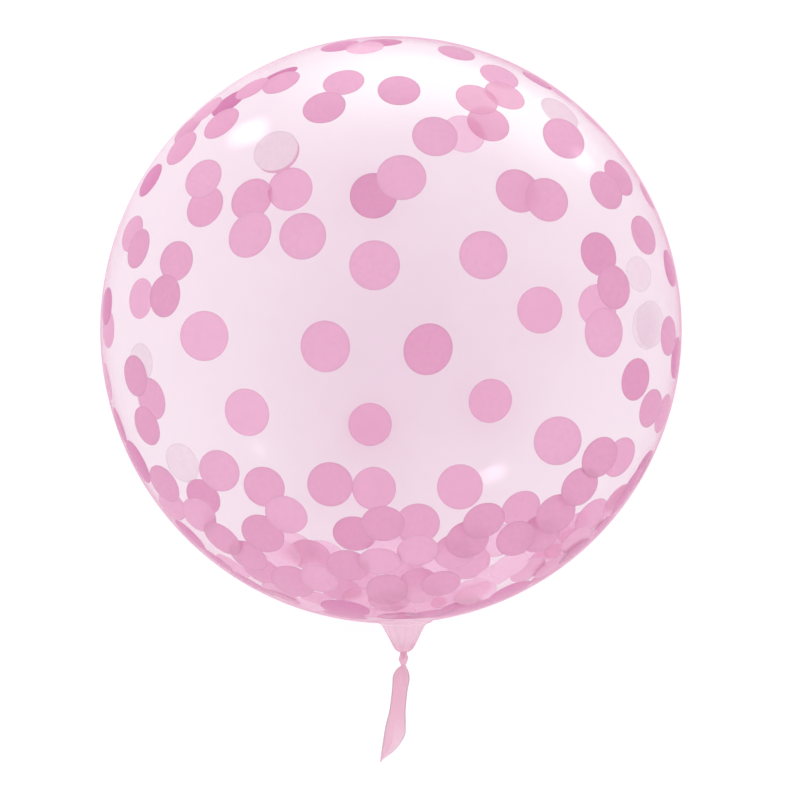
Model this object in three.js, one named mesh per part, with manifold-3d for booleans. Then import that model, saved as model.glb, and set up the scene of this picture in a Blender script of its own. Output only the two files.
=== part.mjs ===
// A clear film sphere balloon, lying on its side.
// Millimetres, +Z up. The origin is the middle of the small flat spot that it rests on.
// The crown points along +Y and the knotted neck along -Y, so that a view from above shows
// the balloon upright. The film, its neck, knot and tail are one piece, so they are one solid.

import * as THREE from 'three';
import { mergeVertices } from 'three/addons/utils/BufferGeometryUtils.js';
import Module from 'manifold-3d';

const manifold = await Module();
manifold.setup();

// Sphere
const equatorRadius = 228.6;    // an 18 inch balloon
const crownRadius = 230.9;      // from the centre to the crown, along the axis
const restSpotRadius = 30;      // the flat that keeps it from rolling

// Neck: the film draws in from the sphere to the knot
const neckOffset = 9.8;         // its axis is this far to one side of the sphere's centre
const neckLength = 23.1;        // from the sphere's end to the throat
const collarRadius = 23;        // where it leaves the sphere
const shoulderRadius = 18;      // just outside the sphere
const gatherRadius = 7.2;       // where the gathered film turns in to the throat
const throatRadius = 2.4;       // gathered film above the knot
const pleatDepth = 0.16;        // of the radius, at the throat

// Knot
const knotLength = 10.2;        // from the throat to the pinch below the knot
const knotRadius = 3.4;
const knotBandRadius = 1;       // the rolled film that wraps round the knot
const knotBandTilt = 24;        // degrees
const pinchRadius = 1.7;

// Tail: the spare end of the filling tube, pressed flat and cut aslant
const tailLength = 77.6;
const tailWidth = 16.5;
const tailThickness = 1.6;
const tailArch = 1.3;           // how far its middle stands over its edges
const tailDroop = 12;           // how far its tip sags

// Mesh fineness
const turns = 64;               // facets round the axis
const sphereRings = 30;
const neckRings = 12;
const knotRings = 6;
const tailRings = 26;
const tailSides = 12;

const centreHeight = Math.sqrt(equatorRadius ** 2 - restSpotRadius ** 2);

// Where things lie along the axis, measured from the sphere's centre towards the neck
const alongAt = (radius) => crownRadius * Math.sqrt(1 - (radius / equatorRadius) ** 2);
const collarPlace = alongAt(collarRadius);
const throatPlace = crownRadius + neckLength;
const pinchPlace = throatPlace + knotLength;

function smoothStep(low, high, value) {
  return THREE.MathUtils.smoothstep(value, low, high);
}

// A closed geometry as a solid: its shared vertices are merged, and the flat triangles that
// a pole leaves are dropped.
function solid(geometry) {
  const bare = geometry.clone();
  bare.deleteAttribute('normal');
  bare.deleteAttribute('uv');
  const merged = mergeVertices(bare, 1e-4);
  const corners = merged.index.array;
  const kept = [];
  for (let i = 0; i < corners.length; i += 3) {
    const [a, b, c] = corners.subarray(i, i + 3);
    if (a !== b && b !== c && c !== a) kept.push(a, b, c);
  }
  return new manifold.Manifold(new manifold.Mesh({
    numProp: 3,
    vertProperties: merged.attributes.position.array,
    triVerts: new Uint32Array(kept),
  }));
}

function geometryOf(shape) {
  const mesh = shape.getMesh();
  const geometry = new THREE.BufferGeometry();
  geometry.setAttribute('position', new THREE.BufferAttribute(mesh.vertProperties, 3));
  geometry.setIndex(new THREE.BufferAttribute(mesh.triVerts, 1));
  geometry.computeVertexNormals();
  return geometry;
}

// Moves each vertex of a geometry to where place(vertex) says.
function reshape(geometry, place) {
  const position = geometry.attributes.position;
  const vertex = new THREE.Vector3();
  for (let i = 0; i < position.count; i++) {
    const moved = place(vertex.fromBufferAttribute(position, i));
    position.setXYZ(i, moved.x, moved.y, moved.z);
  }
  return geometry;
}

// A profile turned about the axis, from points of radius and place along it. They run from
// the crown's side to the tail's.
function turnedProfile(points, sides) {
  const profile = points.map(([radius, along]) => new THREE.Vector2(radius, -along));
  return new THREE.LatheGeometry(profile.reverse(), sides);
}

// Sphere and neck in one profile, from the crown down to the knot's middle.
function bubbleProfile() {
  const sphere = [];
  const last = Math.asin(collarRadius / equatorRadius);
  for (let i = 0; i < sphereRings; i++) {
    const angle = THREE.MathUtils.lerp(Math.PI, last, i / sphereRings);
    const radius = i === 0 ? 0 : equatorRadius * Math.sin(angle);
    sphere.push([radius, crownRadius * Math.cos(angle)]);
  }
  const curve = new THREE.SplineCurve([
    [collarRadius, collarPlace],
    [shoulderRadius, crownRadius + neckLength * 0.04],
    [shoulderRadius * 0.83, crownRadius + neckLength * 0.23],
    [shoulderRadius * 0.585, crownRadius + neckLength * 0.57],
    [gatherRadius, crownRadius + neckLength * 0.84],
    [gatherRadius * 0.65, crownRadius + neckLength * 0.95],
    [throatRadius, throatPlace],
  ].map(([radius, along]) => new THREE.Vector2(radius, along)));
  const neck = curve.getPoints(neckRings).map(({ x, y }) => [x, y]);
  return [...sphere, ...neck, [0, throatPlace + knotLength / 2]];
}

// The neck stands off to one side: the sphere's rings slide over the sphere to meet it. Its
// film is gathered into folds, which begin at the collar.
function gathered(vertex) {
  const along = -vertex.y;
  const slide = neckOffset * smoothStep(0.6 * crownRadius, collarPlace, along);
  const share = smoothStep(crownRadius, throatPlace, along);
  const turn = Math.atan2(vertex.z, vertex.x);
  const fold = 0.6 * Math.cos(5 * turn + 0.7) + 0.4 * Math.cos(8 * turn - 1.1);
  const scale = 1 + pleatDepth * share * fold;
  const x = vertex.x * scale + slide;
  const z = vertex.z * scale;
  const onSphere = slide > 0 && along <= collarPlace + 1e-3;
  return new THREE.Vector3(x, onSphere ? -alongAt(Math.hypot(x, z)) : vertex.y, z);
}

function bubble() {
  const whole = solid(reshape(turnedProfile(bubbleProfile(), turns), gathered));
  const side = 4 * equatorRadius;
  const ground = new THREE.BoxGeometry(side, side, side);
  ground.translate(0, 0, -centreHeight - side / 2);
  return whole.subtract(solid(ground));
}

// The knot: a gathered core with one turn of rolled film round it.
function knot() {
  const core = turnedProfile([
    [0, throatPlace - throatRadius],
    [throatRadius * 0.95, throatPlace],
    [knotRadius * 0.86, throatPlace + knotLength * 0.2],
    [knotRadius, throatPlace + knotLength * 0.48],
    [knotRadius * 0.8, throatPlace + knotLength * 0.74],
    [pinchRadius, pinchPlace],
    [0, pinchPlace + pinchRadius],
  ], 2 * knotRings);
  const band = new THREE.TorusGeometry(
    knotRadius - knotBandRadius * 0.35, knotBandRadius, knotRings, 3 * knotRings);
  band.rotateX(Math.PI / 2);
  band.rotateZ(THREE.MathUtils.degToRad(knotBandTilt));
  band.translate(0, -(throatPlace + knotLength * 0.48), 0);
  return solid(core).add(solid(band));
}

// The tail's outline: how far down it, and where its left and right edges are, in shares of
// its length and its width. It leaves the knot narrow, leans to the left and ends in a
// slanting, rounded cut.
const tailOutline = new THREE.CatmullRomCurve3([
  [0.00, -0.11, 0.11],
  [0.04, -0.33, 0.20],
  [0.10, -0.49, 0.285],
  [0.16, -0.525, 0.285],
  [0.25, -0.55, 0.20],
  [0.45, -0.665, 0.11],
  [0.60, -0.84, 0.115],
  [0.72, -0.94, 0.07],
  [0.86, -1.035, -0.36],
  [0.96, -1.105, -0.93],
  [1.00, -1.12, -1.10],
].map(([down, left, right]) => new THREE.Vector3(left, down, right)));

// A tube whose section is round in the knot and flat below it.
function tail() {
  const tube = new THREE.CylinderGeometry(1, 1, 1, tailSides, tailRings);
  return solid(reshape(tube, (vertex) => {
    const { x: left, y: down, z: right } = tailOutline.getPoint(0.5 - vertex.y);
    const flat = smoothStep(0, 0.13, down);
    const thickness = THREE.MathUtils.lerp(2 * pinchRadius, tailThickness, flat);
    const across = vertex.x;
    const arch = tailArch * flat * (0.5 - across * across);
    return new THREE.Vector3(
      tailWidth * (left + right + (right - left) * across) / 2,
      -(pinchPlace + tailLength * down),
      vertex.z * thickness / 2 * (1 - 0.6 * down) + arch - tailDroop * down * down);
  }));
}

const film = new THREE.MeshStandardMaterial({
  color: 0xf6e3ee,
  roughness: 0.08,
  metalness: 0,
  transparent: true,
  opacity: 0.35,
});

const tied = knot().add(tail()).translate([neckOffset, 0, 0]);
const balloon = new THREE.Mesh(geometryOf(bubble().add(tied)), film);
balloon.name = 'balloon';
balloon.position.z = centreHeight;

const part = new THREE.Group();
part.add(balloon);

export default part;
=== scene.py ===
# A clear film sphere balloon with pink paper confetti sealed in it. It lies on a pale floor and
# is seen from above. Metres, +Z up. The crown points along +Y and the knotted neck along -Y.

import math
import random

import bmesh
import bpy
from mathutils import Matrix, Vector


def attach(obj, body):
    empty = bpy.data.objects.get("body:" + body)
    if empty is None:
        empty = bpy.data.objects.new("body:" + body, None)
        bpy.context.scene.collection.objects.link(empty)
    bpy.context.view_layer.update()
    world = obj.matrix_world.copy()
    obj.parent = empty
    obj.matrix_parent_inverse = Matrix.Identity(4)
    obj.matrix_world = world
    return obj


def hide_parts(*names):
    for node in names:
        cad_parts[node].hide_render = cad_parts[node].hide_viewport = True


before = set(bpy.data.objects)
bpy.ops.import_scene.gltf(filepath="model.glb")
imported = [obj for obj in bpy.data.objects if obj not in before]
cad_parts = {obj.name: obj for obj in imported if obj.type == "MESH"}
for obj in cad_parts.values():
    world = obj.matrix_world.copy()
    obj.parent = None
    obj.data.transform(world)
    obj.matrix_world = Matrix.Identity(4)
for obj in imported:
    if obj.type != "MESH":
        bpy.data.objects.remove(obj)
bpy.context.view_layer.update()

MM = 0.001
CHANCE = random.Random(18)

# Camera: straight above, and far off, so that the front wall's discs look only a little larger
# than the back wall's
PICTURE = 800                       # pixels each way
SENSOR = 36.0
LENS = 205.05
CAMERA_PLACE = Vector((7.09, -55.14, 3815.6)) * MM
FOCAL = LENS / SENSOR * PICTURE     # in pixels
BALL_MIDDLE = (391.0, 330.0)        # the sphere's centre in the photograph

# Film envelope
EQUATOR_RADIUS = 228.6 * MM
CROWN_RADIUS = 230.9 * MM
REST_SPOT_RADIUS = 30 * MM
CENTRE_HEIGHT = math.sqrt(EQUATOR_RADIUS ** 2 - REST_SPOT_RADIUS ** 2)
CENTRE = Vector((0, 0, CENTRE_HEIGHT))
NECK_OFFSET = 9.8 * MM
SLIDE_START = 0.6 * CROWN_RADIUS    # the sphere's rings slide over to the neck from here on
NECK_LENGTH = 23.1 * MM
COLLAR_RADIUS = 23 * MM
SHOULDER_RADIUS = 18 * MM
GATHER_RADIUS = 7.2 * MM
THROAT_RADIUS = 2.4 * MM
PLEAT_DEPTH = 0.16                  # of the radius, at the throat
FINE_PLEATS = 0.045                 # of the radius, between the deep ones
SKIN_TURNS = 180
SPHERE_RINGS = 110
NECK_RINGS = 44

# Knot
KNOT_LENGTH = 10.2 * MM
KNOT_RADIUS = 3.4 * MM
KNOT_BAND_RADIUS = 1 * MM
KNOT_BAND_TILT = 24                 # degrees
PINCH_RADIUS = 1.7 * MM
KNOT_GRAIN = 0.22 * MM              # voxels that fuse the knot's folds
KNOT_SIDES = 60
KNOT_RINGS = 36
BAND_SIDES = 16
BAND_TURNS = 48

# Tail: the spare end of the filling tube, pressed flat and cut aslant
TAIL_LENGTH = 77.6 * MM
TAIL_WIDTH = 16.5 * MM
TAIL_THICKNESS = 1.5 * MM
TAIL_ARCH = 1.3 * MM
TAIL_DROOP = 12 * MM
TAIL_SIDES = 48
TAIL_RINGS = 96
CREASE_DEPTH = 0.7 * MM


def along_at(radius):
    """How far from the sphere's centre along the axis its wall has that radius."""
    return CROWN_RADIUS * math.sqrt(max(0.0, 1 - (radius / EQUATOR_RADIUS) ** 2))


COLLAR_PLACE = along_at(COLLAR_RADIUS)
THROAT_PLACE = CROWN_RADIUS + NECK_LENGTH
PINCH_PLACE = THROAT_PLACE + KNOT_LENGTH

# How far down the tail, and where its left and right edges are, in shares of its length and
# its width
TAIL_OUTLINE = [
    (0.00, -0.11, 0.11),
    (0.04, -0.33, 0.20),
    (0.10, -0.49, 0.285),
    (0.16, -0.525, 0.285),
    (0.25, -0.55, 0.20),
    (0.45, -0.665, 0.11),
    (0.60, -0.84, 0.115),
    (0.72, -0.94, 0.07),
    (0.86, -1.035, -0.36),
    (0.96, -1.105, -0.93),
    (1.00, -1.12, -1.10),
]

# Confetti
DISC_DIAMETER = 38 * MM
LARGEST_DISC = 1.04 * DISC_DIAMETER # one that measures larger is made this large
DISC_THICKNESS = 0.14 * MM
DISC_SIDES = 32
DISC_CURL = 0.3 * MM                # how far the most curled one bends
RIM_ANGLE = math.radians(40)        # past this, an edge is a cut edge and shows sharp
WALL_GAP = 0.35 * MM                # between the film and a disc that clings to it
STACK_STEP = 0.45 * MM              # between discs that lie over each other
SAME_WAY = 0.6                      # discs whose normals agree less don't lie over each other
FITTING_STEP = 0.2 * MM
FITTING_POINTS = 16                 # round a disc's edge
CUT_SHADE = 0.62                    # of the paper's colour, at its cut edge

FLOOR_GAP = 0.4 * MM                # the film's flat spot stands this far over the floor
FLOOR_RADIUS = 30                   # large enough that its edge is never seen

# Paper tones, from the deepest to one that hardly shows: the colour, and how sheer it is
# The deepest tone is painted shade: the same pink paper made deeper for the discs seen edge-on
# round the outline.
SHADED_ROSE, DEEP, MID, GAUZE, LIGHT, BLUSH, PALE, FAINT = (
    "shaded_rose", "deep", "mid", "gauze", "light", "blush", "pale", "faint")
PAPERS = {
    SHADED_ROSE: ((0.82, 0.365, 0.63), 0.05),
    DEEP: ((0.89, 0.58, 0.75), 0.15),
    MID: ((0.925, 0.67, 0.81), 0.25),
    GAUZE: ((0.92, 0.68, 0.80), 0.55),
    LIGHT: ((0.95, 0.73, 0.85), 0.5),
    BLUSH: ((0.98, 0.82, 0.91), 0.4),
    PALE: ((0.94, 0.87, 0.905), 0.2),
    FAINT: ((0.97, 0.94, 0.96), 0.3),
}

# Discs as the photograph shows them: across, down, long way, short way, all in pixels, and the
# paper's tone. The short way points at the middle of the sphere. Those on the front wall are
# listed from the topmost down, and those on the back wall from the lowest up.
MIDDLE_FRONT = [
    (374.5, 265, 51, 50, MID), (325, 346.5, 52, 49.5, MID), (428.5, 349.5, 53, 48.5, DEEP),
    (204, 336, 50.5, 48.5, LIGHT), (483.5, 255, 49, 48, MID), (558, 441, 50, 47, MID),
    (249.5, 234, 50, 39, MID), (401.5, 177, 50, 45, MID), (302.5, 236, 48, 46, MID),
    (246.5, 412.5, 49, 43, LIGHT), (604.5, 332.5, 50, 38, MID),
]
# The light tone on several of these back-wall discs is partly painted light: it lifts them against
# the shade near the floor.
MIDDLE_BACK = [
    (373.5, 195.5, 48, 46, DEEP), (540, 310, 47, 45, LIGHT), (370, 424.5, 43.5, 43, LIGHT),
    (490.5, 401, 45, 42.5, LIGHT), (330, 484.5, 46, 44, MID), (374, 488.5, 44, 43, LIGHT),
    (460, 487, 46, 45, LIGHT), (290, 189, 46, 42, LIGHT), (251.5, 199, 46, 36, MID),
    (518, 190.5, 47, 40, MID), (547, 199.5, 46, 40, MID),
]
CROWN_FRONT = [
    (275.5, 150.5, 47, 37, PALE), (221, 123, 42, 20, DEEP), (252, 88, 38, 12, DEEP),
    (281, 82, 40, 17, DEEP), (324, 107, 44, 30, DEEP), (340, 45.5, 39, 9, SHADED_ROSE),
    (365, 47, 38, 12, LIGHT), (399, 90, 43, 29, DEEP), (505, 95, 43, 23, GAUZE),
    (477, 99, 44, 27, GAUZE), (435, 136, 46, 39, MID), (564, 138, 47, 34, DEEP),
    (538, 79, 34, 6, SHADED_ROSE), (593.5, 121.5, 34, 3, DEEP),
]
CROWN_BACK = [
    (277.5, 153, 46, 36, MID), (205, 108, 38, 10, MID), (279, 75, 40, 8, SHADED_ROSE),
    (229, 102, 42, 12, SHADED_ROSE), (343.5, 82, 42, 24, MID), (381, 42, 42, 7, SHADED_ROSE),
    (456.5, 52.5, 38, 12, DEEP), (499.5, 76, 41, 19, MID), (463.5, 133.5, 44, 36, BLUSH),
    (488.5, 123.5, 44, 32, GAUZE), (560, 113, 44, 20, PALE), (561, 93, 28, 3, MID),
]
RIGHT_FRONT = [
    (606.5, 190, 42, 27, DEEP), (648, 195, 30, 4, SHADED_ROSE), (614, 287, 45, 32, DEEP),
    (644, 235, 41, 21, DEEP), (670, 268, 38, 9, SHADED_ROSE), (669, 336, 40, 15, DEEP),
    (651, 408.5, 40, 20, DEEP), (600, 457.5, 44, 32, DEEP),
]
RIGHT_BACK = [
    (619, 177.5, 41, 20, DEEP), (599, 254, 45, 34, DEEP), (598, 306, 44, 38, LIGHT),
    (639, 274, 36, 24, FAINT), (647, 326.5, 46, 28, FAINT), (651, 324, 47, 27, FAINT),
    (676.5, 358, 42, 8, SHADED_ROSE), (664, 414, 40, 11, DEEP), (636, 379.5, 43, 27, DEEP),
    (620, 457.5, 43, 26, MID), (642, 470, 44, 8, SHADED_ROSE),
]
LEFT_FRONT = [
    (150, 180, 38, 12, SHADED_ROSE), (181, 148, 41, 17, DEEP), (203, 178.5, 43, 31, MID),
    (164.5, 296, 43, 30, DEEP), (138, 248.5, 41, 19, DEEP), (106.5, 306, 38, 9, SHADED_ROSE),
    (135, 376, 42, 22, DEEP), (146.5, 426, 41, 22, DEEP), (107.5, 381, 38, 4, DEEP),
    (137.5, 462, 48, 11, SHADED_ROSE), (164, 484, 42, 22, DEEP), (219, 471, 44, 38, MID),
    (199, 515, 40, 27, MID),
]
LEFT_BACK = [
    (188, 128, 38, 11, DEEP), (204.5, 206.5, 44, 32, MID), (176, 261, 41, 32, MID),
    (140.5, 298.5, 41, 23, LIGHT), (132, 233.5, 38, 17, MID), (108, 329, 38, 11, MID),
    (141, 362, 38, 22, FAINT), (151, 399, 43, 26, MID), (118.5, 426, 38, 5, SHADED_ROSE),
    (182, 463, 42, 29, FAINT), (172, 505, 36, 20, MID), (264, 487, 43, 38, MID),
    (203, 497, 40, 28, DEEP),
]
HEAP_FRONT = [
    (222, 539, 44, 22, DEEP), (262.5, 534, 46, 34, DEEP), (286, 515, 45, 35, MID),
    (248, 556, 42, 24, DEEP), (293, 582, 46, 28, DEEP), (319, 579, 40, 26, MID),
    (348, 566, 44, 30, DEEP), (383, 524, 44, 35, DEEP), (387, 590, 42, 30, DEEP),
    (389, 600, 42, 24, DEEP), (380, 562, 44, 26, MID), (395, 612, 42, 13, LIGHT),
    (418, 551, 42, 30, MID), (419, 586, 42, 35, MID), (441, 584, 40, 24, DEEP),
    (467.5, 540, 44, 36, DEEP), (484, 521, 44, 33, DEEP), (454, 552, 42, 34, MID),
    (580, 487, 43, 32, DEEP), (556, 514, 44, 34, DEEP), (540, 534, 44, 34, DEEP),
    (516, 539, 42, 32, DEEP), (510, 566, 42, 21, BLUSH), (528, 570, 40, 18, MID),
    (577, 540, 38, 16, MID), (617, 501, 40, 15, LIGHT), (306, 605, 38, 9, BLUSH),
    (279, 592, 38, 11, MID),
]
HEAP_BACK = [
    (281, 555, 42, 28, BLUSH), (294, 549, 44, 30, BLUSH), (324, 554, 44, 24, BLUSH),
    (388, 548, 42, 26, BLUSH), (430, 570, 42, 22, BLUSH), (363, 580, 40, 20, MID),
    (262, 571, 44, 22, DEEP), (530, 560, 42, 22, BLUSH), (494, 576, 42, 20, BLUSH),
    (545, 558, 42, 18, LIGHT), (562, 544, 42, 18, LIGHT), (303, 605, 40, 8, BLUSH),
    (425, 605, 44, 16, LIGHT), (452, 600, 44, 16, LIGHT), (476, 594, 44, 20, BLUSH),
    (575, 528, 40, 22, LIGHT), (405, 575, 42, 26, MID), (498, 541, 42, 30, BLUSH),
    (233, 566, 40, 8, LIGHT), (372, 613, 40, 10, MID), (318, 600, 36, 14, MID),
    (310, 556, 44, 30, MID), (354, 534, 43, 34, DEEP),
    (341, 590, 42, 22, DEEP), (363, 598, 40, 20, LIGHT), (417.5, 524, 45, 40, MID),
    (472, 591, 40, 22, BLUSH), (469, 563, 44, 32, MID), (521, 509, 42, 32, MID),
    (592, 516, 42, 22, MID),
]
LOWER_RIM_FRONT = [
    (400, 617, 46, 6, SHADED_ROSE), (346, 616, 44, 5, SHADED_ROSE), (283, 598, 38, 4, DEEP),
    (218, 561, 38, 5, SHADED_ROSE), (451, 613, 42, 6, SHADED_ROSE), (575, 552, 40, 6, SHADED_ROSE),
    (623, 500, 38, 5, SHADED_ROSE), (257, 587, 40, 4, SHADED_ROSE), (345, 609, 50, 14, SHADED_ROSE),
    (430, 615, 50, 7, SHADED_ROSE), (510, 592, 46, 11, SHADED_ROSE), (553, 566, 44, 10, DEEP),
    (634, 484, 38, 8, SHADED_ROSE),
]
LOWER_RIM_BACK = [
    (312, 608, 40, 4, DEEP), (247, 581, 38, 4, SHADED_ROSE), (192, 538, 38, 5, SHADED_ROSE),
    (484, 604, 42, 6, SHADED_ROSE), (547, 573, 42, 6, SHADED_ROSE), (601, 527, 40, 6, SHADED_ROSE),
    (642, 470, 38, 4, DEEP), (188, 537, 42, 7, SHADED_ROSE), (461, 607, 46, 9, SHADED_ROSE),
    (583, 545, 40, 9, DEEP),
]


class Value:
    """A socket that adds, multiplies and so on, as a number does."""

    def __init__(self, paint, socket):
        self.paint = paint
        self.socket = socket

    def maths(self, operation, first, second):
        return self.paint.node("ShaderNodeMath", {"operation": operation}, {0: first, 1: second})

    def __add__(self, other):
        return self.maths("ADD", self, other)

    def __radd__(self, other):
        return self.maths("ADD", other, self)

    def __rsub__(self, other):
        return self.maths("SUBTRACT", other, self)

    def __mul__(self, other):
        return self.maths("MULTIPLY", self, other)

    def __rmul__(self, other):
        return self.maths("MULTIPLY", other, self)

    def __pow__(self, other):
        return self.maths("POWER", self, other)


class Paint:
    """A material that is put together node by node."""

    def __init__(self, name):
        self.material = bpy.data.materials.new(name)
        self.material.use_nodes = True
        self.tree = self.material.node_tree
        self.tree.nodes.clear()

    def node(self, kind, settings=None, sockets=None, output=0):
        """Adds a node, sets it, feeds its sockets and gives one of its outputs."""
        node = self.tree.nodes.new(kind)
        for name, setting in (settings or {}).items():
            if name == "stops":
                self.set_stops(node.color_ramp, setting)
            else:
                setattr(node, name, setting)
        for name, value in (sockets or {}).items():
            if isinstance(value, Value):
                self.tree.links.new(value.socket, node.inputs[name])
            else:
                node.inputs[name].default_value = value
        return Value(self, node.outputs[output])

    def set_stops(self, ramp, stops):
        while len(ramp.elements) < len(stops):
            ramp.elements.new(1.0)
        for element, (place, colour) in zip(ramp.elements, stops):
            element.position = place
            element.color = colour

    def finish(self, shader):
        output = self.tree.nodes.new("ShaderNodeOutputMaterial")
        self.tree.links.new(shader.socket, output.inputs["Surface"])
        return self.material


def opaque(red, green, blue):
    return (red, green, blue, 1.0)


def smooth_step(low, high, value):
    share = min(max((value - low) / (high - low), 0.0), 1.0)
    return share * share * (3 - 2 * share)


def mix(first, second, share):
    return first + (second - first) * share


def on_curve(points, share):
    """The place a share of the way along the smooth curve through the points."""
    last = len(points) - 1
    place = share * last
    start = min(int(place), last - 1)
    t = place - start
    near = [points[min(max(start + step, 0), last)] for step in (-1, 0, 1, 2)]
    return [
        b + t * (c - a) / 2 + t * t * (a - 2.5 * b + 2 * c - d / 2)
        + t ** 3 * (1.5 * (b - c) + (d - a) / 2)
        for a, b, c, d in zip(*near)
    ]


def object_from(name, bm):
    mesh = bpy.data.meshes.new(name)
    bm.to_mesh(mesh)
    bm.free()
    made = bpy.data.objects.new(name, mesh)
    bpy.context.scene.collection.objects.link(made)
    return made


def piece_from(name, bm, paints):
    """Turns a bmesh into a finished piece that rides on the balloon."""
    for face in bm.faces:
        face.smooth = True
    piece = object_from(name, bm)
    for paint in paints:
        piece.data.materials.append(paint)
    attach(piece, "root")
    return piece


def turned(bm, profile, steps):
    """Turns a profile of radius and place about the balloon's axis, as a closed skin."""
    line = [bm.verts.new((radius, -along, 0)) for radius, along in profile]
    edges = [bm.edges.new(pair) for pair in zip(line, line[1:])]
    bmesh.ops.spin(
        bm, geom=line + edges, axis=(0, 1, 0), cent=(0, 0, 0),
        angle=math.tau, steps=steps, use_merge=True)
    bmesh.ops.remove_doubles(bm, verts=bm.verts, dist=1e-7)
    bmesh.ops.recalc_face_normals(bm, faces=bm.faces)


def skin_profile():
    """Sphere and neck from the crown down into the knot, as radius and place."""
    last = math.asin(COLLAR_RADIUS / EQUATOR_RADIUS)
    sphere = []
    for ring in range(SPHERE_RINGS):
        angle = mix(math.pi, last, ring / SPHERE_RINGS)
        sphere.append((EQUATOR_RADIUS * abs(math.sin(angle)), CROWN_RADIUS * math.cos(angle)))
    sphere[0] = (0.0, -CROWN_RADIUS)
    neck = [
        (COLLAR_RADIUS, COLLAR_PLACE),
        (SHOULDER_RADIUS, CROWN_RADIUS + NECK_LENGTH * 0.04),
        (SHOULDER_RADIUS * 0.83, CROWN_RADIUS + NECK_LENGTH * 0.23),
        (SHOULDER_RADIUS * 0.585, CROWN_RADIUS + NECK_LENGTH * 0.57),
        (GATHER_RADIUS, CROWN_RADIUS + NECK_LENGTH * 0.84),
        (GATHER_RADIUS * 0.65, CROWN_RADIUS + NECK_LENGTH * 0.95),
        (THROAT_RADIUS, THROAT_PLACE),
    ]
    rings = [on_curve(neck, ring / NECK_RINGS) for ring in range(NECK_RINGS + 1)]
    return sphere + rings + [(0.0, THROAT_PLACE + KNOT_LENGTH / 2)]


def pleat(place):
    """How far a point round the neck stands out on its pleats, from -1 to 1."""
    turn = math.atan2(place.z, place.x)
    return 0.6 * math.cos(5 * turn + 0.7) + 0.4 * math.cos(8 * turn - 1.1)


def gathered(place):
    """Slides the neck to one side and draws its film into pleats."""
    along = -place.y
    slide = NECK_OFFSET * smooth_step(SLIDE_START, COLLAR_PLACE, along)
    share = smooth_step(CROWN_RADIUS, THROAT_PLACE, along)
    turn = math.atan2(place.z, place.x)
    fine = math.cos(17 * turn + 2.0) + 0.7 * math.cos(26 * turn + 0.4)
    scale = 1 + PLEAT_DEPTH * share * pleat(place) + FINE_PLEATS * share * fine
    x, z = place.x * scale + slide, place.z * scale
    on_sphere = along <= COLLAR_PLACE + 1e-6
    y = -along_at(math.hypot(x, z)) if slide > 0 and on_sphere else place.y
    return Vector((x, y, max(z + CENTRE_HEIGHT, 0.0)))


def painted_white_patch(place):
    """Painted reflection: how far the film is left untinted in one broad white patch by the crown.
    """
    across, up = place.x / EQUATOR_RADIUS, place.y / CROWN_RADIUS
    reach = math.hypot(across, up)
    turn = math.degrees(math.atan2(across, up))
    band = smooth_step(0.68, 0.84, reach) * smooth_step(0.98, 0.95, reach)
    return band * smooth_step(-34, 0, turn) * smooth_step(64, 34, turn)


def border_tint(place):
    """How pink the film's outline is: all round, but hardly at the upper left."""
    across, up = place.x / EQUATOR_RADIUS, place.y / CROWN_RADIUS
    toward = (0.66 * up - 0.75 * across) / max(math.hypot(across, up), 0.1)
    return 1 - 0.85 * max(toward, 0.0) ** 4


def film_skin(paint):
    bm = bmesh.new()
    turned(bm, skin_profile(), SKIN_TURNS)
    gather = bm.verts.layers.float.new("gather")
    crease = bm.verts.layers.float.new("crease")
    bare = bm.verts.layers.float.new("bare")
    border = bm.verts.layers.float.new("border")
    for vertex in bm.verts:
        neck = smooth_step(COLLAR_PLACE - 0.15 * NECK_LENGTH, CROWN_RADIUS, -vertex.co.y)
        throat = smooth_step(CROWN_RADIUS + 0.5 * NECK_LENGTH, THROAT_PLACE, -vertex.co.y)
        # painted glow: the film round the heap is made pinker, standing in for the pink light of
        # the heap
        heap_glow = smooth_step(0.5 * CROWN_RADIUS, 0.95 * CROWN_RADIUS, -vertex.co.y)
        vertex[gather] = 0.10 * heap_glow + 0.45 * neck + 0.38 * throat
        # painted shade: the crease value darkens the film in the hollows of the neck's pleats
        vertex[crease] = neck * max(0.0, -pleat(vertex.co)) ** 2
        vertex.co = gathered(vertex.co)
        # painted reflection: the patch by the crown where the film is left untinted so it shows
        # white
        vertex[bare] = painted_white_patch(vertex.co)
        vertex[border] = border_tint(vertex.co)
    skin = piece_from("balloon_film", bm, [paint])
    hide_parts("balloon")
    return skin


def fused(name, bm, grain):
    """Fuses overlapping closed shapes into one skin."""
    rough = object_from(name, bm)
    mesh = rough.data
    remesh = rough.modifiers.new("fuse", "REMESH")
    remesh.mode = "VOXEL"
    remesh.voxel_size = grain
    whole = bmesh.new()
    whole.from_object(rough, bpy.context.evaluated_depsgraph_get())
    gather = whole.verts.layers.float.new("gather")
    for vertex in whole.verts:
        vertex[gather] = 1.0
    bpy.data.objects.remove(rough)
    bpy.data.meshes.remove(mesh)
    bmesh.ops.smooth_vert(
        whole, verts=whole.verts, factor=0.5, use_axis_x=True, use_axis_y=True, use_axis_z=True)
    return whole


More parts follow.
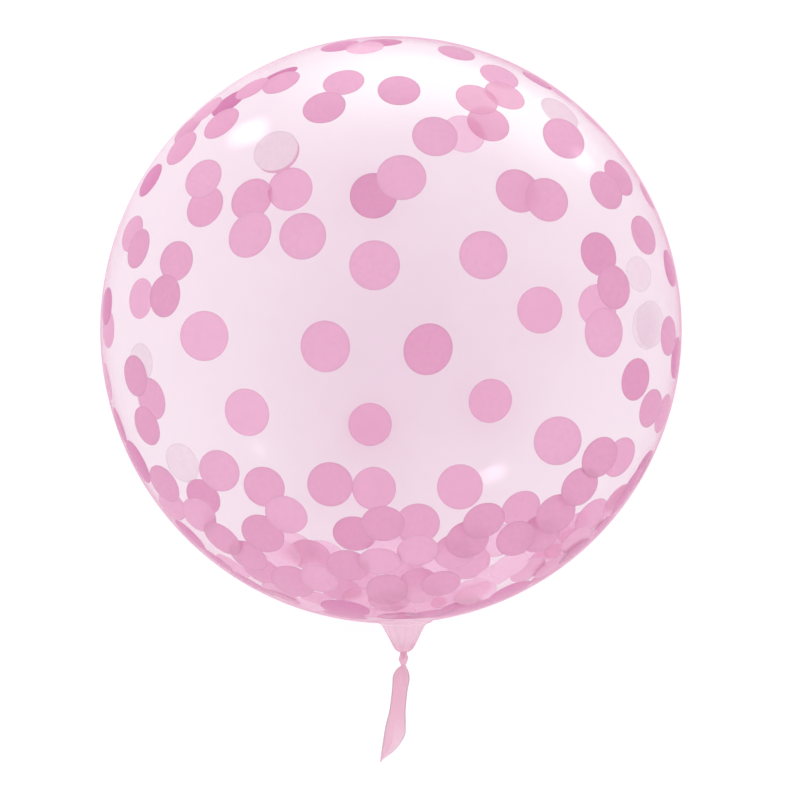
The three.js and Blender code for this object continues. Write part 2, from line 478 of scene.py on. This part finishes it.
def knot(paint):
    """A gathered core with one turn of rolled film round it."""
    profile = [
        (0.0, THROAT_PLACE - THROAT_RADIUS),
        (THROAT_RADIUS * 0.95, THROAT_PLACE),
        (KNOT_RADIUS * 0.86, THROAT_PLACE + KNOT_LENGTH * 0.2),
        (KNOT_RADIUS, THROAT_PLACE + KNOT_LENGTH * 0.48),
        (KNOT_RADIUS * 0.8, THROAT_PLACE + KNOT_LENGTH * 0.74),
        (PINCH_RADIUS, PINCH_PLACE),
        (0.0, PINCH_PLACE + PINCH_RADIUS),
    ]
    bm = bmesh.new()
    turned(bm, [on_curve(profile, i / KNOT_RINGS) for i in range(KNOT_RINGS + 1)], KNOT_SIDES)
    for vertex in bm.verts:
        turn = math.atan2(vertex.co.z, vertex.co.x) + vertex.co.y / KNOT_LENGTH
        scale = 1 + 0.07 * math.cos(5 * turn) + 0.04 * math.cos(9 * turn + 1)
        vertex.co.x *= scale
        vertex.co.z *= scale
    core = list(bm.verts)
    ring = bmesh.ops.create_circle(bm, segments=BAND_SIDES, radius=KNOT_BAND_RADIUS)["verts"]
    bmesh.ops.translate(bm, verts=ring, vec=(KNOT_RADIUS - KNOT_BAND_RADIUS * 0.35, 0, 0))
    edges = list({edge for vertex in ring for edge in vertex.link_edges})
    bmesh.ops.spin(
        bm, geom=ring + edges, axis=(0, 1, 0), cent=(0, 0, 0),
        angle=math.tau, steps=BAND_TURNS, use_merge=True)
    band = [vertex for vertex in bm.verts if vertex not in set(core)]
    tilt = Matrix.Rotation(math.radians(KNOT_BAND_TILT), 4, "Z")
    bmesh.ops.transform(bm, matrix=tilt, verts=band)
    bmesh.ops.translate(bm, verts=band, vec=(0, -(THROAT_PLACE + KNOT_LENGTH * 0.48), 0))
    bmesh.ops.translate(bm, verts=bm.verts, vec=(NECK_OFFSET, 0, CENTRE_HEIGHT))
    bmesh.ops.recalc_face_normals(bm, faces=bm.faces)
    return piece_from("neck_knot", fused("knot_shapes", bm, KNOT_GRAIN), [paint])


def tail(paint):
    """The flat tube of spare film below the knot, with lengthwise creases."""
    bm = bmesh.new()
    bmesh.ops.create_cone(
        bm, cap_ends=True, cap_tris=True, segments=TAIL_SIDES, radius1=1, radius2=1, depth=1)
    long_edges = [
        edge for edge in bm.edges if abs(edge.verts[0].co.z - edge.verts[1].co.z) > 0.5]
    bmesh.ops.subdivide_edges(bm, edges=long_edges, cuts=TAIL_RINGS - 1, use_grid_fill=True)
    gather = bm.verts.layers.float.new("gather")
    sharp = bm.verts.layers.float.new("crease")
    for vertex in bm.verts:
        down, left, right = on_curve(TAIL_OUTLINE, 0.5 - vertex.co.z)
        fold_line = mix(-0.12, 0.1, smooth_step(0.5, 1.0, down))
        folded = smooth_step(0.04, -0.04, vertex.co.x - fold_line) * smooth_step(0.55, 0.75, down)
        vertex[gather] = mix(1.0, 0.55, smooth_step(0.4, 0.75, down)) + 0.3 * folded
        # painted shade: the crease value darkens the tail towards its folded side edges
        vertex[sharp] = smooth_step(0.78, 0.97, abs(vertex.co.x)) * smooth_step(0, 0.05, down)
        across = vertex.co.x
        flat = smooth_step(0, 0.13, down)
        thickness = mix(2 * PINCH_RADIUS, TAIL_THICKNESS, flat)
        arch = TAIL_ARCH * flat * (0.5 - across * across)
        bunched = 1 - smooth_step(0.02, 0.35, down)
        crease = math.cos(2.6 * math.pi * across + 0.8) * bunched * smooth_step(0, 0.06, down)
        ridge = math.exp(-((across - fold_line) / 0.12) ** 2) * smooth_step(0.3, 0.7, down)
        z = vertex.co.y * thickness / 2 * (1 - 0.6 * down) + arch
        z += CREASE_DEPTH * (crease + 0.5 * ridge) - TAIL_DROOP * down * down
        x = NECK_OFFSET + TAIL_WIDTH * (left + right + (right - left) * across) / 2
        vertex.co = Vector((x, -(PINCH_PLACE + TAIL_LENGTH * down), CENTRE_HEIGHT + z))
    bmesh.ops.recalc_face_normals(bm, faces=bm.faces)
    return piece_from("film_tail", bm, [paint])


class Disc:
    """A confetti disc that looks as the photograph shows it, just inside the wall."""

    def __init__(self, across, down, long, short, tone, front):
        self.tone = tone
        ray = Vector((across - PICTURE / 2, PICTURE / 2 - down, -FOCAL)).normalized()
        outward = Vector((across - BALL_MIDDLE[0], BALL_MIDDLE[1] - down, 0))
        outward = (outward - outward.dot(ray) * ray).normalized()
        lean = math.acos(min(short / long, 1.0))
        side = 1 if front else -1
        self.normal = (outward * math.sin(lean) - side * ray * math.cos(lean)).normalized()
        self.spin = CHANCE.uniform(0, math.tau)
        self.curl = CHANCE.uniform(0.2, 1.0)
        self.stack = 0
        nearest = (CENTRE - CAMERA_PLACE).dot(ray)
        miss = (CAMERA_PLACE + nearest * ray - CENTRE).length
        half_chord = math.sqrt(max(EQUATOR_RADIUS ** 2 - miss ** 2, 0.0))
        depth = nearest - side * half_chord
        self.radius = min(long * depth / FOCAL, LARGEST_DISC) / 2
        self.slide = side * FITTING_STEP * ray
        self.inward = -outward * FITTING_STEP
        self.steps = int(half_chord / FITTING_STEP)
        self.start = CAMERA_PLACE + depth * ray
        self.fit()

    def rim(self):
        """Points round the disc's edge."""
        first = self.normal.orthogonal().normalized()
        second = self.normal.cross(first)
        sag = self.radius ** 2 / (2 * EQUATOR_RADIUS)
        for point in range(FITTING_POINTS):
            turn = math.tau * point / FITTING_POINTS
            flat = first * math.cos(turn) + second * math.sin(turn)
            yield self.centre + flat * self.radius - self.normal * sag

    def fits(self):
        """True if the whole disc is inside the film."""
        reach = EQUATOR_RADIUS - WALL_GAP - self.stack * STACK_STEP
        for point in [self.centre, *self.rim()]:
            place = point - CENTRE
            place.y *= EQUATOR_RADIUS / CROWN_RADIUS
            if place.length > reach or point.z < WALL_GAP:
                return False
        return True

    def fit(self):
        """Moves the disc in along the line of sight, and then towards the middle, until it fits."""
        self.centre = self.start.copy()
        for _ in range(self.steps):
            if self.fits():
                return
            self.centre += self.slide
        while not self.fits():
            self.centre += self.inward

    def overlaps(self, other):
        """True if one of the two discs lies over the other."""
        gap = (self.centre - other.centre).length
        return gap < self.radius + other.radius and self.normal.dot(other.normal) > SAME_WAY

    def matrix(self):
        turn = self.normal.to_track_quat("Z", "Y").to_matrix().to_4x4()
        size = Matrix.Diagonal((self.radius, self.radius, 1, 1))
        return Matrix.Translation(self.centre) @ turn @ Matrix.Rotation(self.spin, 4, "Z") @ size


def all_discs():
    """Every disc of the photograph by piece name. Discs that lie over each other are stacked."""
    groups = {
        "confetti_front": (MIDDLE_FRONT, []),
        "confetti_back": ([], MIDDLE_BACK),
        "confetti_crown": (CROWN_FRONT, CROWN_BACK),
        "confetti_right": (RIGHT_FRONT, RIGHT_BACK),
        "confetti_left": (LEFT_FRONT, LEFT_BACK),
        "confetti_lower_rim": (LOWER_RIM_FRONT, LOWER_RIM_BACK),
        "confetti_heap": (HEAP_FRONT, HEAP_BACK),
    }
    placed = []
    made = {}
    for name, (front, back) in groups.items():
        discs = [Disc(*entry, True) for entry in front] + [Disc(*entry, False) for entry in back]
        for disc in discs:
            disc.stack = 1 + max((o.stack for o in placed if disc.overlaps(o)), default=-1)
            disc.fit()
            placed.append(disc)
        made[name] = discs
    return made


def confetti(name, discs, papers):
    """One piece that holds a group of discs."""
    bm = bmesh.new()
    rim = bm.verts.layers.float.new("rim")
    tones = list(papers)
    for disc in discs:
        before = set(bm.faces)
        made = bmesh.ops.create_cone(
            bm, cap_ends=True, cap_tris=True, segments=DISC_SIDES,
            radius1=1, radius2=1, depth=DISC_THICKNESS)["verts"]
        sag = disc.radius ** 2 / (2 * EQUATOR_RADIUS)
        for vertex in made:
            reach = vertex.co.xy.length
            vertex[rim] = reach
            vertex.co.z -= sag * reach * reach
            vertex.co.z -= disc.curl * DISC_CURL * (vertex.co.x ** 2 - 0.5 * reach)
        bmesh.ops.transform(bm, matrix=disc.matrix(), verts=made)
        for face in set(bm.faces) - before:
            face.material_index = tones.index(disc.tone)
    for edge in bm.edges:
        edge.smooth = edge.calc_face_angle(0) < RIM_ANGLE
    return piece_from(name, bm, list(papers.values()))


def film_paint():
    """Clear film: tinted straight on, glossy aslant, pink where gathered, with a painted glow by
    the heap.
    """
    paint = Paint("clear_film")
    facing = paint.node("ShaderNodeLayerWeight", {}, {"Blend": 0.5}, "Facing")
    gather = paint.node("ShaderNodeAttribute", {"attribute_name": "gather"}, {}, "Fac")
    crease = paint.node("ShaderNodeAttribute", {"attribute_name": "crease"}, {}, "Fac")
    bare = paint.node("ShaderNodeAttribute", {"attribute_name": "bare"}, {}, "Fac")
    border = paint.node("ShaderNodeAttribute", {"attribute_name": "border"}, {}, "Fac")
    tinted = paint.node("ShaderNodeBsdfTransparent", {}, {"Color": opaque(0.930, 0.881, 0.914)})
    # Untinted film for the patch by the crown: a painted reflection that shows white
    untinted = paint.node("ShaderNodeBsdfTransparent", {}, {"Color": opaque(0.995, 0.99, 0.992)})
    clear = paint.node("ShaderNodeMixShader", {}, {0: bare, 1: tinted, 2: untinted})
    mirror = paint.node(
        "ShaderNodeBsdfGlossy", {}, {"Color": opaque(0.95, 0.89, 0.925), "Roughness": 0.06})
    # Painted shade: the gathered film's pink turns darker and greyer with the crease value
    pink = paint.node(
        "ShaderNodeValToRGB",
        {"stops": [(0.0, opaque(0.82, 0.46, 0.60)), (1.0, opaque(0.54, 0.36, 0.43))]},
        {"Fac": crease})
    body = paint.node(
        "ShaderNodeBsdfPrincipled", {}, {"Base Color": pink, "Roughness": 0.22, "IOR": 1.5})
    edge = paint.node("ShaderNodeBsdfDiffuse", {}, {"Color": opaque(0.74, 0.43, 0.57)})
    pane = paint.node(
        "ShaderNodeMixShader", {},
        {0: 0.02 + 0.06 * facing ** 2 + 0.28 * facing ** 7, 1: clear, 2: mirror})
    film = paint.node("ShaderNodeMixShader", {}, {0: 0.72 * gather, 1: pane, 2: body})
    rimmed = paint.node(
        "ShaderNodeMixShader", {}, {0: 1.5 * border * facing ** 10, 1: film, 2: edge})
    return paint.finish(rimmed)


def paper_paint(tone, colour, sheer):
    """Thin tissue paper: a little uneven and sheer, darker at its cut edge, lit from behind."""
    paint = Paint("paper_" + tone)
    place = paint.node("ShaderNodeTexCoord", {}, {}, "Object")
    rim = paint.node("ShaderNodeAttribute", {"attribute_name": "rim"}, {}, "Fac")
    pulp = paint.node(
        "ShaderNodeTexNoise", {},
        {"Vector": place, "Scale": 260, "Detail": 4, "Roughness": 0.6}, "Fac")
    loose = opaque(*(min(c * 1.03, 1) for c in colour))
    dense = opaque(*(c * 0.95 for c in colour))
    shade = paint.node(
        "ShaderNodeValToRGB", {"stops": [(0.35, loose), (0.65, dense)]}, {"Fac": pulp}, "Color")
    cut = paint.node(
        "ShaderNodeMix", {"data_type": "RGBA"},
        {0: 0.5 * rim ** 24, 6: shade, 7: opaque(*(c * CUT_SHADE for c in colour))}, 2)
    bump = paint.node(
        "ShaderNodeBump", {}, {"Strength": 0.15, "Distance": 0.0002, "Height": pulp})
    face = paint.node(
        "ShaderNodeBsdfPrincipled", {},
        {"Base Color": cut, "Roughness": 0.75, "Specular IOR Level": 0.1, "Normal": bump})
    through = paint.node("ShaderNodeBsdfTranslucent", {}, {"Color": opaque(*colour)})
    sheet = paint.node("ShaderNodeMixShader", {}, {0: 0.4, 1: face, 2: through})
    thin = paint.node("ShaderNodeBsdfTransparent", {}, {"Color": opaque(*colour)})
    paper = paint.node("ShaderNodeMixShader", {}, {0: sheer, 1: sheet, 2: thin})
    return paint.finish(paper)


def make_camera():
    camera = bpy.data.cameras.new("camera")
    camera.lens = LENS
    camera.sensor_width = SENSOR
    camera.clip_end = 100
    view = bpy.data.objects.new("camera", camera)
    view.location = CAMERA_PLACE
    bpy.context.scene.collection.objects.link(view)
    bpy.context.scene.camera = view


def make_floor():
    paint = Paint("floor_white")
    matt = paint.node("ShaderNodeBsdfDiffuse", {}, {"Color": opaque(0.80, 0.80, 0.80)})
    glow = paint.node("ShaderNodeEmission", {}, {"Strength": 0.22})
    lit = paint.node("ShaderNodeAddShader", {}, {0: matt, 1: glow})
    bm = bmesh.new()
    bmesh.ops.create_circle(bm, cap_ends=True, segments=96, radius=FLOOR_RADIUS)
    bmesh.ops.translate(bm, verts=bm.verts, vec=(0, 0, -FLOOR_GAP))
    floor = object_from("floor", bm)
    floor.data.materials.append(paint.finish(lit))


def light_card(name, place, aim, width, height, glow):
    """A card that glows most in its middle. Only reflections show it."""
    paint = Paint(name)
    local = paint.node("ShaderNodeTexCoord", {}, {}, "Object")
    near = paint.node("ShaderNodeTexGradient", {"gradient_type": "SPHERICAL"}, {"Vector": local})
    fade = (1 - (1 - near) ** 2) ** 2
    light = paint.node("ShaderNodeEmission", {}, {"Strength": glow * fade})
    clear = paint.node("ShaderNodeBsdfTransparent")
    both = paint.node("ShaderNodeAddShader", {}, {0: light, 1: clear})
    bm = bmesh.new()
    bmesh.ops.create_circle(bm, cap_ends=True, segments=48, radius=1)
    card = object_from(name, bm)
    card.data.materials.append(paint.finish(both))
    card.scale = (width / 2, height / 2, 1)
    card.location = place
    card.rotation_euler = (Vector(aim) - Vector(place)).to_track_quat("Z", "Y").to_euler()
    card.visible_camera = False
    card.visible_shadow = False


def make_light():
    world = bpy.data.worlds.new("studio")
    world.use_nodes = True
    world.node_tree.nodes["Background"].inputs["Color"].default_value = opaque(1, 1, 1)
    world.node_tree.nodes["Background"].inputs["Strength"].default_value = 1.15
    bpy.context.scene.world = world
    light_card("left_window", (-0.325, 0.472, 0.250), (-0.103, 0.149, 0.364), 0.105, 0.18, 10)
    light_card("left_window_low", (-0.349, 0.446, 0.228), (-0.114, 0.145, 0.360), 0.105, 0.18, 8)
    light_card("right_window", (0.352, 0.308, 0.197), (0.148, 0.129, 0.344), 0.08, 0.13, 4.5)


def main():
    scene = bpy.context.scene
    make_camera()
    make_floor()
    make_light()
    film = film_paint()
    papers = {tone: paper_paint(tone, *look) for tone, look in PAPERS.items()}
    film_skin(film)
    knot(film)
    tail(film)
    for name, discs in all_discs().items():
        confetti(name, discs, papers)
    scene.view_settings.view_transform = "Standard"
    scene.cycles.max_bounces = 12
    scene.cycles.diffuse_bounces = 6
    scene.cycles.transparent_max_bounces = 48
    scene.cycles.transmission_bounces = 8


main()
